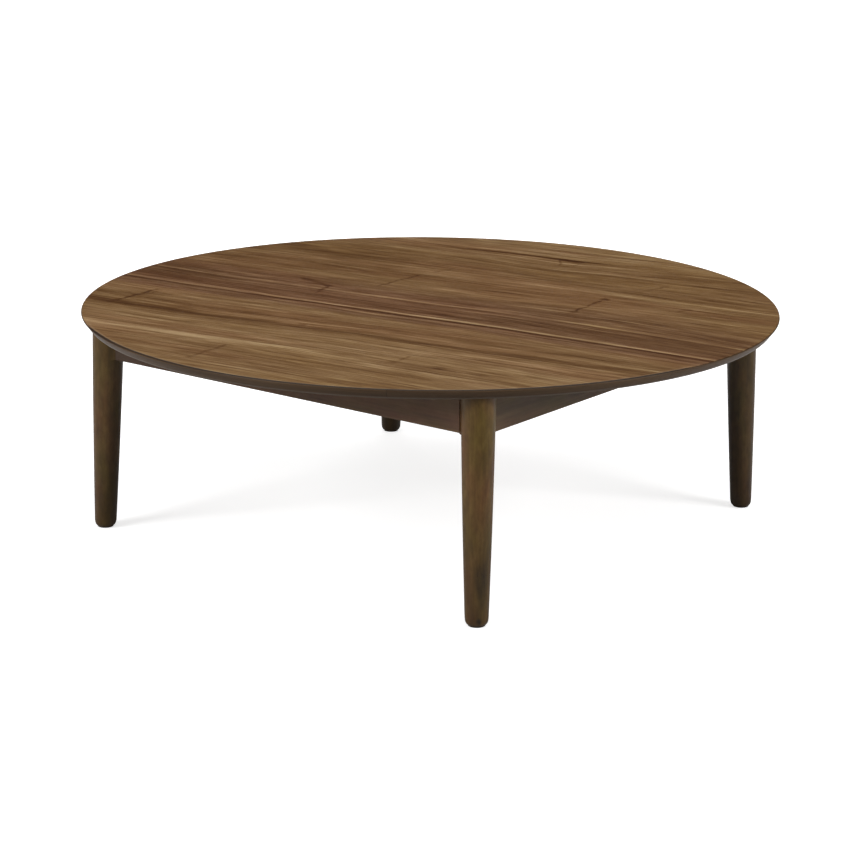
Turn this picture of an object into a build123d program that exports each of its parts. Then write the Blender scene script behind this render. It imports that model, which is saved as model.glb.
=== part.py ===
from build123d import *

import math
import os

# ---------------------------------------------------------------- driving dimensions, mm and degrees
table_diameter = 1100.0
table_height = 353.0

# Top: plywood core, solid edge lipping, face veneer over both, backing veneer under the core
top_thickness = 15.0
veneer_thickness = 0.6
lipping_width = 25.0
edge_undercut = 9.6
edge_flat = 0.3
upper_edge_round = 2.2
lower_edge_round = 2.0

# Aprons: four boards under the top, mitred at the ends to leave a slot for each leg
apron_height = 60.0
apron_thickness = 18.0
apron_outset = 2.5
apron_edge_round = 1.0
leg_side_gap = 0.5

# Glue blocks behind the aprons
block_depth = 22.0
block_height = 22.0
block_length = 60.0
block_end_inset = 114.0
block_chamfer = 6.0
blocks_per_apron = 3

# Legs: turned, tapered with a slight bow, splayed along the diagonals, with heads left square inside
leg_rim_inset = 42.3
leg_splay = 2.21
leg_top_diameter = 50.0
leg_foot_diameter = 34.0
leg_bow = 0.7
head_setback = 4.0
head_depth = 24.0
head_corner = 3.0
foot_round = 4.0
pad_thickness = 2.0
pad_margin = 0.5

# Pivot of a leg, measured from the leg's axis at the underside of the top
pivot_inset = 12.0
pivot_drop = 20.0
bolt_diameter = 6.0
bolt_head_diameter = 10.5
bolt_head_height = 3.0
bolt_socket_width = 4.0
bolt_socket_depth = 1.6
bolt_end = 1.0
nut_width = 10.0
nut_height = 5.0
bolt_seat = 12.5
seat_clearance = 1.0
washer_diameter = 18.0
washer_thickness = 1.2

# Hinge bracket: a plate under the top with an ear in the leg's slot
plate_length = 60.0
plate_width = 40.0
plate_thickness = 3.0
plate_corner = 6.0
plate_setback = 1.0
ear_thickness = 5.0
ear_radius = 9.0
ear_root = 20.0
slot_clearance = 1.5
screw_pitch_along = 40.0
screw_pitch_across = 26.0

# Countersunk wood screws
screw_diameter = 4.0
screw_head_diameter = 8.0
screw_hold = 11.0
screw_tip_room = 1.0

# Rubber rests for the folded legs
bumper_diameter = 16.0
bumper_round = 2.0
bumper_from_foot = 60.0

# Clearances
leg_seat_gap = 0.3
running_clearance = 0.05
washer_gap = 0.3
crown_gap = 0.5
bumper_gap = 0.5
screw_clearance = 0.25

# ---------------------------------------------------------------- derived places
top_radius = table_diameter / 2
core_radius = top_radius - lipping_width
underside_z = table_height - top_thickness
core_bottom_z = underside_z + veneer_thickness
core_top_z = table_height - veneer_thickness
apron_bottom_z = underside_z - apron_height
plate_bottom_z = underside_z - plate_thickness

# Each leg stands on a diagonal, at one distance from the rim, and the aprons run from leg to leg,
# a little outside the line between the legs' axes
leg_axis_x = top_radius - leg_rim_inset
apron_centre = leg_axis_x / math.sqrt(2) + apron_outset
apron_outer = apron_centre + apron_thickness / 2
apron_inner = apron_centre - apron_thickness / 2
mitre_shift = (leg_top_diameter / 2 + leg_side_gap) * math.sqrt(2)

# The legs and hinges are drawn in the plane Y = 0, with +X outward along the table's diagonal
splay = math.radians(leg_splay)
foot_x = leg_axis_x + underside_z * math.tan(splay)
leg_length = underside_z / math.cos(splay)
leg_top_z = underside_z - leg_seat_gap
pivot_x = leg_axis_x - pivot_inset
pivot_z = underside_z - pivot_drop
plate_outer_x = pivot_x - plate_setback
plate_centre_x = plate_outer_x - plate_length / 2
slot_width = ear_thickness + 2 * (washer_thickness + washer_gap)
crown_radius = pivot_drop - plate_thickness - crown_gap
screw_head_radius = screw_head_diameter / 2
screw_radius = screw_diameter / 2
screw_head_height = screw_head_radius - screw_radius
bolt_radius = bolt_diameter / 2
countersink_angle = 90.0
nut_corner_radius = nut_width / math.sqrt(3)
block_centre = apron_inner - block_depth / 2
block_row = 2 * (apron_inner - mitre_shift - block_end_inset)
block_pitch = block_row / (blocks_per_apron - 1)
block_bottom_z = underside_z - block_height

# The slot has to clear the ear while the leg turns about it, as far down as the ear's root is long
slot_depth = plate_setback + ear_root + slot_clearance
slot_run = leg_top_diameter

# Folded, the leg's axis is level, as far below the pivot as it was outside it when upright
folded_axis_drop = pivot_inset * math.cos(splay) + pivot_drop * math.sin(splay)
pivot_to_foot = pivot_z / math.cos(splay) - folded_axis_drop * math.tan(splay)
bumper_x = pivot_x - (pivot_to_foot - bumper_from_foot)

sides = {"right": 0.0, "rear": 90.0, "left": 180.0, "front": 270.0}
corners = {"rear_right": 45.0, "rear_left": 135.0, "front_left": 225.0, "front_right": 315.0}
first_corner_angle = corners["rear_right"]

os.makedirs("parts", exist_ok=True)


def save(piece, node):
    """Label a finished piece and write it as its own STEP file."""
    piece.label = node
    export_step(piece, f"parts/{node}.step")


def save_turned(piece, places, suffix):
    """Write a piece once for each side or corner, turned about the table's centre."""
    for place, angle in places.items():
        save(piece.rotate(Axis.Z, angle), f"{place}_{suffix}")


def leg_radius_at(height):
    """Radius of the turned leg at a distance along its axis from the floor."""
    share = height / leg_length
    straight = leg_foot_diameter * (1 - share) + leg_top_diameter * share
    return straight / 2 + 4 * leg_bow * share * (1 - share)


bumper_height = pivot_drop + folded_axis_drop - leg_radius_at(bumper_from_foot) - bumper_gap

# ---------------------------------------------------------------- top
with BuildPart() as top_core:
    with BuildSketch(Plane.XY.offset(core_bottom_z)):
        Circle(core_radius)
    extrude(amount=core_top_z - core_bottom_z)
    # Pilot holes for the bracket screws and the block screws
    with BuildSketch(Plane.XY.offset(core_bottom_z)):
        with PolarLocations(plate_centre_x, len(corners), start_angle=first_corner_angle):
            with GridLocations(screw_pitch_along, screw_pitch_across, 2, 2):
                Circle(screw_radius)
        with PolarLocations(block_centre, len(sides)):
            with GridLocations(0, block_pitch, 1, blocks_per_apron):
                Circle(screw_radius)
    extrude(amount=screw_hold - veneer_thickness + screw_tip_room, mode=Mode.SUBTRACT)

with BuildPart() as backing_veneer:
    with BuildSketch(Plane.XY.offset(underside_z)):
        Circle(core_radius)
        with PolarLocations(plate_centre_x, len(corners), start_angle=first_corner_angle):
            with GridLocations(screw_pitch_along, screw_pitch_across, 2, 2):
                Circle(screw_radius, mode=Mode.SUBTRACT)
        with PolarLocations(block_centre, len(sides)):
            with GridLocations(0, block_pitch, 1, blocks_per_apron):
                Circle(screw_radius, mode=Mode.SUBTRACT)
    extrude(amount=veneer_thickness)

with BuildPart() as edge_lipping:
    with BuildSketch(Plane.XZ) as lipping_section:
        with BuildLine():
            Polyline(
                (core_radius, underside_z),
                (top_radius - edge_undercut, underside_z),
                (top_radius, table_height - upper_edge_round - edge_flat),
                (top_radius, table_height),
                (core_radius, table_height),
                close=True,
            )
        make_face()
        lower_arris = lipping_section.vertices().group_by(Axis.Y)[0].sort_by(Axis.X)[-1]
        fillet(lower_arris, radius=lower_edge_round)
        upper_arris = lipping_section.vertices().group_by(Axis.Y)[-1].sort_by(Axis.X)[-1]
        fillet(upper_arris, radius=upper_edge_round)
    revolve(axis=Axis.Z)
    split(bisect_by=Plane.XY.offset(core_top_z), keep=Keep.BOTTOM)

# The upper arris is rounded after veneering, so the veneer ends partway down the rounding
with BuildPart() as top_veneer:
    with BuildSketch(Plane.XY.offset(table_height)):
        Circle(top_radius)
    extrude(amount=-top_thickness)
    fillet(top_veneer.edges().group_by(Axis.Z)[-1], radius=upper_edge_round)
    split(bisect_by=Plane.XY.offset(core_top_z), keep=Keep.TOP)

save(top_core.part, "top_core")
save(backing_veneer.part, "backing_veneer")
save(edge_lipping.part, "edge_lipping")
save(top_veneer.part, "top_veneer")

# ---------------------------------------------------------------- aprons, on the +X side
with BuildPart() as apron:
    with BuildSketch(Plane.XY.offset(apron_bottom_z)):
        with BuildLine():
            Polyline(
                (apron_inner, mitre_shift - apron_inner),
                (apron_outer, mitre_shift - apron_outer),
                (apron_outer, apron_outer - mitre_shift),
                (apron_inner, apron_inner - mitre_shift),
                close=True,
            )
        make_face()
    extrude(amount=apron_height)
    long_edges = apron.edges().filter_by(Axis.Y).group_by(Axis.Z)[0]
    fillet(long_edges, radius=apron_edge_round)

with BuildPart() as apron_blocks:
    with BuildSketch(Plane.XY.offset(block_bottom_z)):
        with Locations((block_centre, 0)):
            with GridLocations(0, block_pitch, 1, blocks_per_apron):
                Rectangle(block_depth, block_length)
    extrude(amount=block_height)
    lower_edges = apron_blocks.edges().filter_by(Axis.Y).group_by(Axis.Z)[0]
    chamfer(lower_edges.group_by(Axis.X)[0], length=block_chamfer)
    with Locations(Plane((block_centre, 0, block_bottom_z), x_dir=(1, 0, 0), z_dir=(0, 0, -1))):
        with GridLocations(0, block_pitch, 1, blocks_per_apron):
            CounterSinkHole(
                radius=screw_radius + screw_clearance,
                counter_sink_radius=screw_head_radius + screw_clearance,
                depth=block_height,
                counter_sink_angle=countersink_angle,
            )

with BuildPart() as block_screws:
    with BuildSketch(Plane.XY.offset(block_bottom_z)):
        with Locations((block_centre, 0)):
            with GridLocations(0, block_pitch, 1, blocks_per_apron):
                Circle(screw_head_radius)
    extrude(amount=screw_head_height, taper=countersink_angle / 2)
    with BuildSketch(Plane.XY.offset(block_bottom_z)):
        with Locations((block_centre, 0)):
            with GridLocations(0, block_pitch, 1, blocks_per_apron):
                Circle(screw_radius)
    extrude(amount=block_height + screw_hold)

save_turned(apron.part, sides, "apron")
save_turned(apron_blocks.part, sides, "apron_blocks")
save_turned(block_screws.part, sides, "block_screws")

# ---------------------------------------------------------------- hinge brackets
with BuildPart() as hinge_bracket:
    with BuildSketch(Plane.XY.offset(plate_bottom_z)):
        with Locations((plate_centre_x, 0)):
            RectangleRounded(plate_length, plate_width, plate_corner)
    extrude(amount=plate_thickness)
    # The ear: an eye around the pivot, widening to its root on the plate
    with BuildSketch(Plane.XZ):
        with Locations((pivot_x, pivot_z)):
            Circle(ear_radius)
        with Locations((plate_outer_x, underside_z)):
            Rectangle(ear_root, plate_thickness, align=(Align.MAX, Align.MAX))
        make_hull()
    extrude(amount=ear_thickness / 2, both=True)
    with BuildSketch(Plane.XZ):
        with Locations((pivot_x, pivot_z)):
            Circle(bolt_radius + running_clearance)
    extrude(amount=ear_thickness, both=True, mode=Mode.SUBTRACT)
    with Locations(Plane((plate_centre_x, 0, plate_bottom_z), x_dir=(1, 0, 0), z_dir=(0, 0, -1))):
        with GridLocations(screw_pitch_along, screw_pitch_across, 2, 2):
            CounterSinkHole(
                radius=screw_radius + screw_clearance,
                counter_sink_radius=screw_head_radius + screw_clearance,
                depth=plate_thickness,
                counter_sink_angle=countersink_angle,
            )

with BuildPart() as bracket_screws:
    with BuildSketch(Plane.XY.offset(plate_bottom_z)):
        with Locations((plate_centre_x, 0)):
            with GridLocations(screw_pitch_along, screw_pitch_across, 2, 2):
                Circle(screw_head_radius)
    extrude(amount=screw_head_height, taper=countersink_angle / 2)
    with BuildSketch(Plane.XY.offset(plate_bottom_z)):
        with Locations((plate_centre_x, 0)):
            with GridLocations(screw_pitch_along, screw_pitch_across, 2, 2):
                Circle(screw_radius)
    extrude(amount=plate_thickness + screw_hold)

save_turned(hinge_bracket.part, corners, "hinge_bracket")
save_turned(bracket_screws.part, corners, "bracket_screws")

# ---------------------------------------------------------------- legs
leg_plane = Plane(
    origin=(foot_x, 0, 0),
    x_dir=(math.cos(splay), 0, math.sin(splay)),
    z_dir=(0, -1, 0),
)
leg_axis = Axis((foot_x, 0, 0), (-math.sin(splay), 0, math.cos(splay)))
trim = leg_foot_diameter / 2
blank_foot_radius = leg_radius_at(-trim)
blank_top_radius = leg_radius_at(leg_length + trim)
# The side line's middle control point lies as far again outside the bow as the bow outside the chord
blank_side_radius = 2 * leg_radius_at(leg_length / 2) - (blank_foot_radius + blank_top_radius) / 2

# The head stays square on its inner side, as wide as the leg's top, so that it fills the slot
# between the aprons. It ends in a shoulder level with their lower edges.
head_foot = apron_bottom_z / math.cos(splay)
head_plane = Plane(
    origin=(foot_x, 0, 0),
    x_dir=(0, -1, 0),
    z_dir=(-math.cos(splay), 0, -math.sin(splay)),
)
inboard = Axis((0, 0, 0), (-1, 0, 0))

with BuildPart() as leg_head:
    with BuildSketch(head_plane.offset(head_setback)):
        with Locations((0, head_foot)):
            Rectangle(leg_top_diameter, leg_length + trim - head_foot, align=(Align.CENTER, Align.MIN))
    extrude(amount=head_depth)
    back_edges = leg_head.faces().sort_by(inboard)[-1].edges()
    fillet(back_edges.filter_by(Axis.Y, reverse=True), radius=head_corner)

with BuildPart() as leg:
    # Turned form, drawn a little too long at both ends and then cut level
    with BuildSketch(leg_plane):
        with BuildLine():
            side_line = Bezier(
                (blank_foot_radius, -trim),
                (blank_side_radius, leg_length / 2),
                (blank_top_radius, leg_length + trim),
            )
            Polyline(side_line @ 1, (0, leg_length + trim), (0, -trim), side_line @ 0)
        make_face()
    revolve(axis=leg_axis)
    add(leg_head.part)
    split(bisect_by=Plane.XY.offset(pad_thickness), keep=Keep.TOP)
    split(bisect_by=Plane.XY.offset(leg_top_z), keep=Keep.BOTTOM)
    fillet(leg.edges().group_by(Axis.Z)[0], radius=foot_round)
    # Crown: the inner half of the top is rounded about the pivot, so that it rolls under the plate
    with BuildSketch(Plane.XZ):
        with Locations((pivot_x, pivot_z)):
            Rectangle(leg_top_diameter, leg_top_diameter, align=(Align.MAX, Align.MIN))
            Circle(crown_radius, mode=Mode.SUBTRACT)
    extrude(amount=leg_top_diameter, both=True, mode=Mode.SUBTRACT)
    # Slot for the ear, open at the top and towards the centre of the table
    with BuildSketch(Plane.XZ) as slot_section:
        with Locations((pivot_x + ear_radius + slot_clearance, pivot_z - slot_depth)):
            Rectangle(slot_run, slot_depth + pivot_drop, align=(Align.MAX, Align.MIN))
        inner_corner = slot_section.vertices().group_by(Axis.Y)[0].sort_by(Axis.X)[-1]
        fillet(inner_corner, radius=ear_radius)
    extrude(amount=slot_width / 2, both=True, mode=Mode.SUBTRACT)
    # Bolt hole, with a sunk seat for the head on one side and for the nut on the other
    with BuildSketch(Plane.XZ):
        with Locations((pivot_x, pivot_z)):
            Circle(bolt_radius)
    extrude(amount=leg_top_diameter, both=True, mode=Mode.SUBTRACT)
    with BuildSketch(Plane.XZ.offset(bolt_seat)):
        with Locations((pivot_x, pivot_z)):
            Circle(bolt_head_diameter / 2 + seat_clearance)
    extrude(amount=leg_top_diameter, mode=Mode.SUBTRACT)
    with BuildSketch(Plane.XZ.offset(-bolt_seat)):
        with Locations((pivot_x, pivot_z)):
            Circle(nut_corner_radius + seat_clearance)
    extrude(amount=-leg_top_diameter, mode=Mode.SUBTRACT)

with BuildPart() as pivot_bolt:
    with BuildSketch(Plane.XZ.offset(bolt_seat)):
        with Locations((pivot_x, pivot_z)):
            Circle(bolt_head_diameter / 2)
    extrude(amount=bolt_head_height)
    with BuildSketch(Plane.XZ.offset(bolt_seat)):
        with Locations((pivot_x, pivot_z)):
            Circle(bolt_radius)
    extrude(amount=-(2 * bolt_seat + nut_height + bolt_end))
    with BuildSketch(Plane.XZ.offset(bolt_seat + bolt_head_height)):
        with Locations((pivot_x, pivot_z)):
            RegularPolygon(bolt_socket_width / 2, 6, major_radius=False)
    extrude(amount=-bolt_socket_depth, mode=Mode.SUBTRACT)

with BuildPart() as pivot_nut:
    with BuildSketch(Plane.XZ.offset(-bolt_seat)):
        with Locations((pivot_x, pivot_z)):
            RegularPolygon(nut_width / 2, 6, major_radius=False)
            Circle(bolt_radius, mode=Mode.SUBTRACT)
    extrude(amount=-nut_height)

with BuildPart() as pivot_washers:
    for side in (1, -1):
        with BuildSketch(Plane.XZ.offset(side * slot_width / 2)):
            with Locations((pivot_x, pivot_z)):
                Circle(washer_diameter / 2)
                Circle(bolt_radius + running_clearance, mode=Mode.SUBTRACT)
        extrude(amount=-side * washer_thickness)

with BuildPart() as foot_pad:
    with BuildSketch(Plane.XY):
        with Locations((foot_x, 0)):
            Circle(leg_foot_diameter / 2 - foot_round - pad_margin)
    extrude(amount=pad_thickness)

# Rubber rest under the top, just short of the leg when its axis has folded level
with BuildPart() as leg_bumper:
    with BuildSketch(Plane.XY.offset(underside_z)):
        with Locations((bumper_x, 0)):
            Circle(bumper_diameter / 2)
    extrude(amount=-bumper_height)
    fillet(leg_bumper.edges().group_by(Axis.Z)[0], radius=bumper_round)

save_turned(leg.part, corners, "leg")
save_turned(pivot_bolt.part, corners, "pivot_bolt")
save_turned(pivot_nut.part, corners, "pivot_nut")
save_turned(pivot_washers.part, corners, "pivot_washers")
save_turned(foot_pad.part, corners, "foot_pad")
save_turned(leg_bumper.part, corners, "leg_bumper")
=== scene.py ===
import math

import bmesh
import bpy
from mathutils import Matrix, Vector


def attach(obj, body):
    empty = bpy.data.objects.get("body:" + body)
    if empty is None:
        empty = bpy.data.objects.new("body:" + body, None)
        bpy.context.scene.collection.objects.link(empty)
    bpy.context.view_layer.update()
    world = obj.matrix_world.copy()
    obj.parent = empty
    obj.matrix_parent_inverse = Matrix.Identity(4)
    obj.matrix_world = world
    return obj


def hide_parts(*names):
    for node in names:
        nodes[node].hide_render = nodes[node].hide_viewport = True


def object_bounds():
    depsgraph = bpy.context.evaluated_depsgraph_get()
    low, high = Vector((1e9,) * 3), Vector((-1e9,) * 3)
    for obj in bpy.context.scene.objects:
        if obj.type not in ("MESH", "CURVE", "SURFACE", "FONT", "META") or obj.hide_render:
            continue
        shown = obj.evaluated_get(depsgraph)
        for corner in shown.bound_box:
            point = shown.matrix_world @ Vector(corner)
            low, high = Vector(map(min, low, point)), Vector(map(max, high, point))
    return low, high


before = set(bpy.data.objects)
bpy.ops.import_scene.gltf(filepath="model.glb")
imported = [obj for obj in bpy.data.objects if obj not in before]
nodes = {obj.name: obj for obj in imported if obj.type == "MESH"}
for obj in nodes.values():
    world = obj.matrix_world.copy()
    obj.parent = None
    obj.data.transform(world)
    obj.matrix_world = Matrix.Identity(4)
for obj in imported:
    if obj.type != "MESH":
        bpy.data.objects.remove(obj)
cad_box = [list(corner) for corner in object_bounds()]

# Angle about Z of each leg and of each apron, in degrees
CORNERS = {"rear_right": 45, "rear_left": 135, "front_left": 225, "front_right": 315}
SIDES = {"right": 0, "rear": 90, "left": 180, "front": 270}

# Sizes of the table, in metres. The radius is the least half-width of the CAD's box, so that the finer
# rim stays inside the box.
TOP_RADIUS = min(abs(value) for corner in cad_box for value in corner[:2])
TOP_Z = 0.353
UPPER_ROUND = 0.0022
EDGE_FLAT = 0.0003
LOWER_ROUND = 0.002
VENEER_BOTTOM_Z = 0.3524
UNDERSIDE_Z = 0.338
CORE_RADIUS = 0.525
EDGE_UNDERCUT = 0.0096
LEG_AXIS_RADIUS = 0.5077
LEG_RADIUS = 0.025
LEG_SPLAY = math.radians(2.21)
BLOCK_ROW_RADIUS = 0.3415
BLOCK_PITCH = 0.20244
BLOCK_BOTTOM_Z = 0.316
PLATE_CENTRE_RADIUS = 0.4647
PLATE_BOTTOM_Z = 0.335
SCREW_PITCH_ALONG = 0.040
SCREW_PITCH_ACROSS = 0.026


# ---------------------------------------------------------------- camera

CAMERA_PLACE = Vector((2.31044, -3.03568, 1.20423))
CAMERA_AIM = Vector((-0.01667, 0.01047, 0.14722))
CAMERA_ROLL = 0.00897
CAMERA_LENS = 104.094
CAMERA_REACH = 60.0
SENSOR = 36.0


def camera_axes():
    """The camera's right, up and back directions in the frame."""
    back = (CAMERA_PLACE - CAMERA_AIM).normalized()
    right = Vector((0, 0, 1)).cross(back).normalized()
    up = back.cross(right)
    turned_right = right * math.cos(CAMERA_ROLL) + up * math.sin(CAMERA_ROLL)
    turned_up = up * math.cos(CAMERA_ROLL) - right * math.sin(CAMERA_ROLL)
    return turned_right, turned_up, back


def make_camera():
    data = bpy.data.cameras.new("camera")
    data.lens = CAMERA_LENS
    data.sensor_fit = "HORIZONTAL"
    data.sensor_width = SENSOR
    data.clip_end = CAMERA_REACH
    data.dof.use_dof = False
    camera = bpy.data.objects.new("camera", data)
    bpy.context.scene.collection.objects.link(camera)
    turn = Matrix(camera_axes()).transposed()
    camera.matrix_world = Matrix.Translation(CAMERA_PLACE) @ turn.to_4x4()
    bpy.context.scene.camera = camera


# ---------------------------------------------------------------- node graphs

# What every wood shares: its index of refraction, and where the noise of the pores is at its darkest
WOOD_IOR = 1.45
PORES_FULL = 0.74


def linear(red, green, blue):
    """Linear colour of an sRGB colour given from 0 to 255."""
    out = []
    for value in (red, green, blue):
        share = value / 255
        out.append(share / 12.92 if share <= 0.04045 else ((share + 0.055) / 1.055) ** 2.4)
    return (*out, 1.0)


class Graph:
    """A material and its node tree. Most calls add nodes and give back an output for the next call."""

    def __init__(self, name):
        self.material = bpy.data.materials.new(name)
        self.material.use_nodes = True
        self.tree = self.material.node_tree
        self.tree.nodes.clear()

    def put(self, socket, value):
        """Links an output to the socket or sets its value. None leaves the socket as it is."""
        if isinstance(value, bpy.types.NodeSocket):
            self.tree.links.new(value, socket)
        elif value is not None:
            socket.default_value = value

    def node(self, kind, **settings):
        made = self.tree.nodes.new(kind)
        for key, value in settings.items():
            setattr(made, key, value)
        return made

    def place(self):
        return self.node("ShaderNodeTexCoord").outputs["Object"]

    def math(self, operation, a, b=None, c=None, clamp=False):
        made = self.node("ShaderNodeMath", operation=operation, use_clamp=clamp)
        for socket, value in zip(made.inputs, (a, b, c)):
            self.put(socket, value)
        return made.outputs[0]

    def add(self, a, b):
        return self.math("ADD", a, b)

    def times(self, a, b):
        return self.math("MULTIPLY", a, b)

    def sway(self, value, noise, weight):
        """value moved up and down by a noise with a mean of 0.5."""
        return self.math("MULTIPLY_ADD", self.add(noise, -0.5), weight, value)

    def vector_math(self, operation, a, b=None):
        made = self.node("ShaderNodeVectorMath", operation=operation)
        self.put(made.inputs[0], a)
        self.put(made.inputs[1], b)
        return made.outputs["Value" if operation in ("LENGTH", "DOT_PRODUCT") else "Vector"]

    def split(self, vector):
        made = self.node("ShaderNodeSeparateXYZ")
        self.put(made.inputs[0], vector)
        return made.outputs[0], made.outputs[1], made.outputs[2]

    def join(self, x, y, z):
        made = self.node("ShaderNodeCombineXYZ")
        for socket, value in zip(made.inputs, (x, y, z)):
            self.put(socket, value)
        return made.outputs[0]

    def span(self, value, low, high, to_low=0.0, to_high=1.0, smooth=False):
        """value from low to high, mapped and held between to_low and to_high."""
        made = self.node("ShaderNodeMapRange", clamp=True)
        made.interpolation_type = "SMOOTHSTEP" if smooth else "LINEAR"
        for socket, item in zip(made.inputs, (value, low, high, to_low, to_high)):
            self.put(socket, item)
        return made.outputs[0]

    def curve(self, value, points):
        """A line drawn through the given (in, out) points, all of them between 0 and 1."""
        made = self.node("ShaderNodeFloatCurve")
        self.put(made.inputs["Value"], value)
        line = made.mapping.curves[0]
        line.points[0].location = points[0]
        line.points[1].location = points[-1]
        for point in points[1:-1]:
            line.points.new(*point)
        for point in line.points:
            point.handle_type = "VECTOR"
        made.mapping.update()
        return made.outputs[0]

    def noise(self, vector, detail, roughness=0.5, distortion=0.0):
        made = self.node("ShaderNodeTexNoise", noise_dimensions="3D")
        for name, value in (
            ("Vector", vector), ("Scale", 1.0), ("Detail", detail),
            ("Roughness", roughness), ("Distortion", distortion),
        ):
            self.put(made.inputs[name], value)
        return made.outputs[0]

    def grain(self, x, y, z, **settings):
        """A noise on the object's own place, with a scale for each direction."""
        return self.noise(self.vector_math("MULTIPLY", self.place(), (x, y, z)), **settings)

    def stretched(self, x, y, z, scales, shift=(0.0, 0.0, 0.0)):
        """A vector for a noise whose features are 1 / scale metres long in each direction."""
        parts = [self.math("MULTIPLY_ADD", v, s, d) for v, s, d in zip((x, y, z), scales, shift)]
        return self.join(*parts)

    def spot(self, along, across, middle_along, middle_across, half_length, half_width):
        """How far a place is from the middle of an oval given in millimetres. The oval's edge is at 1."""
        off_along = self.times(self.add(along, -middle_along / 1000), 1000 / half_length)
        off_across = self.times(self.add(across, -middle_across / 1000), 1000 / half_width)
        return self.vector_math("LENGTH", self.join(off_along, off_across, 0.0))

    def ramp(self, value, stops):
        made = self.node("ShaderNodeValToRGB")
        self.put(made.inputs[0], value)
        line = made.color_ramp
        line.elements[0].position, line.elements[0].color = stops[0]
        line.elements[1].position, line.elements[1].color = stops[-1]
        for position, colour in stops[1:-1]:
            line.elements.new(position).color = colour
        return made.outputs[0]

    def three_colours(self, value, dark, mean, light):
        """A ramp through three colours given from 0 to 255."""
        return self.ramp(value, [(0.0, linear(*dark)), (0.5, linear(*mean)), (1.0, linear(*light))])

    def mix(self, share, a, b, blend="MIX"):
        made = self.node("ShaderNodeMix", data_type="RGBA", blend_type=blend)
        for index, value in ((0, share), (6, a), (7, b)):
            self.put(made.inputs[index], value)
        return made.outputs[2]

    def bump(self, height, distance, strength):
        made = self.node("ShaderNodeBump")
        self.put(made.inputs["Height"], height)
        self.put(made.inputs["Distance"], distance)
        self.put(made.inputs["Strength"], strength)
        return made.outputs[0]

    def finish(self, colour, roughness, normal=None, **constants):
        shader = self.node("ShaderNodeBsdfPrincipled")
        self.put(shader.inputs["Base Color"], colour)
        self.put(shader.inputs["Roughness"], roughness)
        self.put(shader.inputs["Normal"], normal)
        for name, value in constants.items():
            shader.inputs[name.replace("_", " ")].default_value = value
        out = self.node("ShaderNodeOutputMaterial")
        self.tree.links.new(shader.outputs[0], out.inputs["Surface"])
        return self.material


# ---------------------------------------------------------------- walnut veneer of the top

# The fibres run from left to right. Each line gives the height that the fibres at one height in the
# middle of the leaf have along the table, in millimetres: (height in the middle, [(x, y), ...]).
FIBRES = [
    (-600, [(-560, -660), (0, -600), (560, -550)]),
    (-385, [(-560, -455), (-335, -425), (-70, -386), (140, -363), (560, -325)]),
    (-235, [(-560, -310), (-440, -300), (-250, -285), (-50, -240), (50, -212), (190, -195), (560, -140)]),
    (-150, [(-560, -202), (-350, -185), (-210, -162), (-50, -150), (170, -115), (560, -85)]),
    (-90, [(-560, -150), (-380, -135), (-190, -115), (-60, -98), (70, -82), (190, -65), (560, -38)]),
    (0, [(-560, -60), (-360, -50), (-180, -26), (10, 0), (170, 23), (330, 35), (560, 43)]),
    (60, [(-560, -12), (-400, 10), (-300, 30), (-220, 33), (10, 66), (210, 100), (320, 110), (560, 112)]),
    (110, [(-560, 30), (-350, 62), (10, 95), (90, 110), (190, 138), (240, 150), (320, 165), (560, 200)]),
    (235, [(-560, 150), (-160, 210), (50, 238), (280, 257), (560, 287)]),
    (345, [(-560, 290), (-210, 332), (20, 345), (100, 365), (310, 405), (560, 440)]),
    (430, [(-560, 372), (-220, 400), (-130, 420), (-20, 432), (110, 460), (560, 530)]),
    (600, [(-560, 540), (0, 600), (560, 660)]),
]
# Tone of the wood across the fibres, from 0 dark to 1 light: (height in the middle, tone)
TONES = [
    (-600, 0.60), (-530, 0.66), (-515, 0.60), (-504, 0.38), (-492, 0.50), (-480, 0.44), (-468, 0.50),
    (-440, 0.54), (-424, 0.52), (-404, 0.66), (-396, 0.70), (-370, 0.58), (-356, 0.60), (-336, 0.66),
    (-318, 0.62), (-310, 0.50), (-298, 0.66), (-284, 0.64), (-270, 0.54), (-256, 0.36), (-246, 0.34),
    (-232, 0.52), (-222, 0.54), (-210, 0.34), (-200, 0.44), (-180, 0.56), (-164, 0.62), (-155, 0.62),
    (-148, 0.46), (-140, 0.40), (-108, 0.40), (-103, 0.22), (-97, 0.16), (-93, 0.40), (-88, 0.66),
    (-82, 0.52), (-74, 0.26), (-50, 0.26), (-20, 0.34), (-9, 0.26), (-3, 0.46), (3, 0.60), (8, 0.44),
    (16, 0.34), (40, 0.36), (51, 0.48), (60, 0.42), (84, 0.48), (104, 0.60), (112, 0.60), (126, 0.50),
    (150, 0.42), (180, 0.42), (205, 0.50), (224, 0.60), (232, 0.56), (250, 0.44), (270, 0.38), (300, 0.42),
    (318, 0.46), (334, 0.38), (348, 0.62), (356, 0.58), (376, 0.46), (396, 0.56), (420, 0.52), (438, 0.70),
    (456, 0.64), (474, 0.62), (487, 0.48), (502, 0.72), (530, 0.64), (600, 0.62),
]
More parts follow.
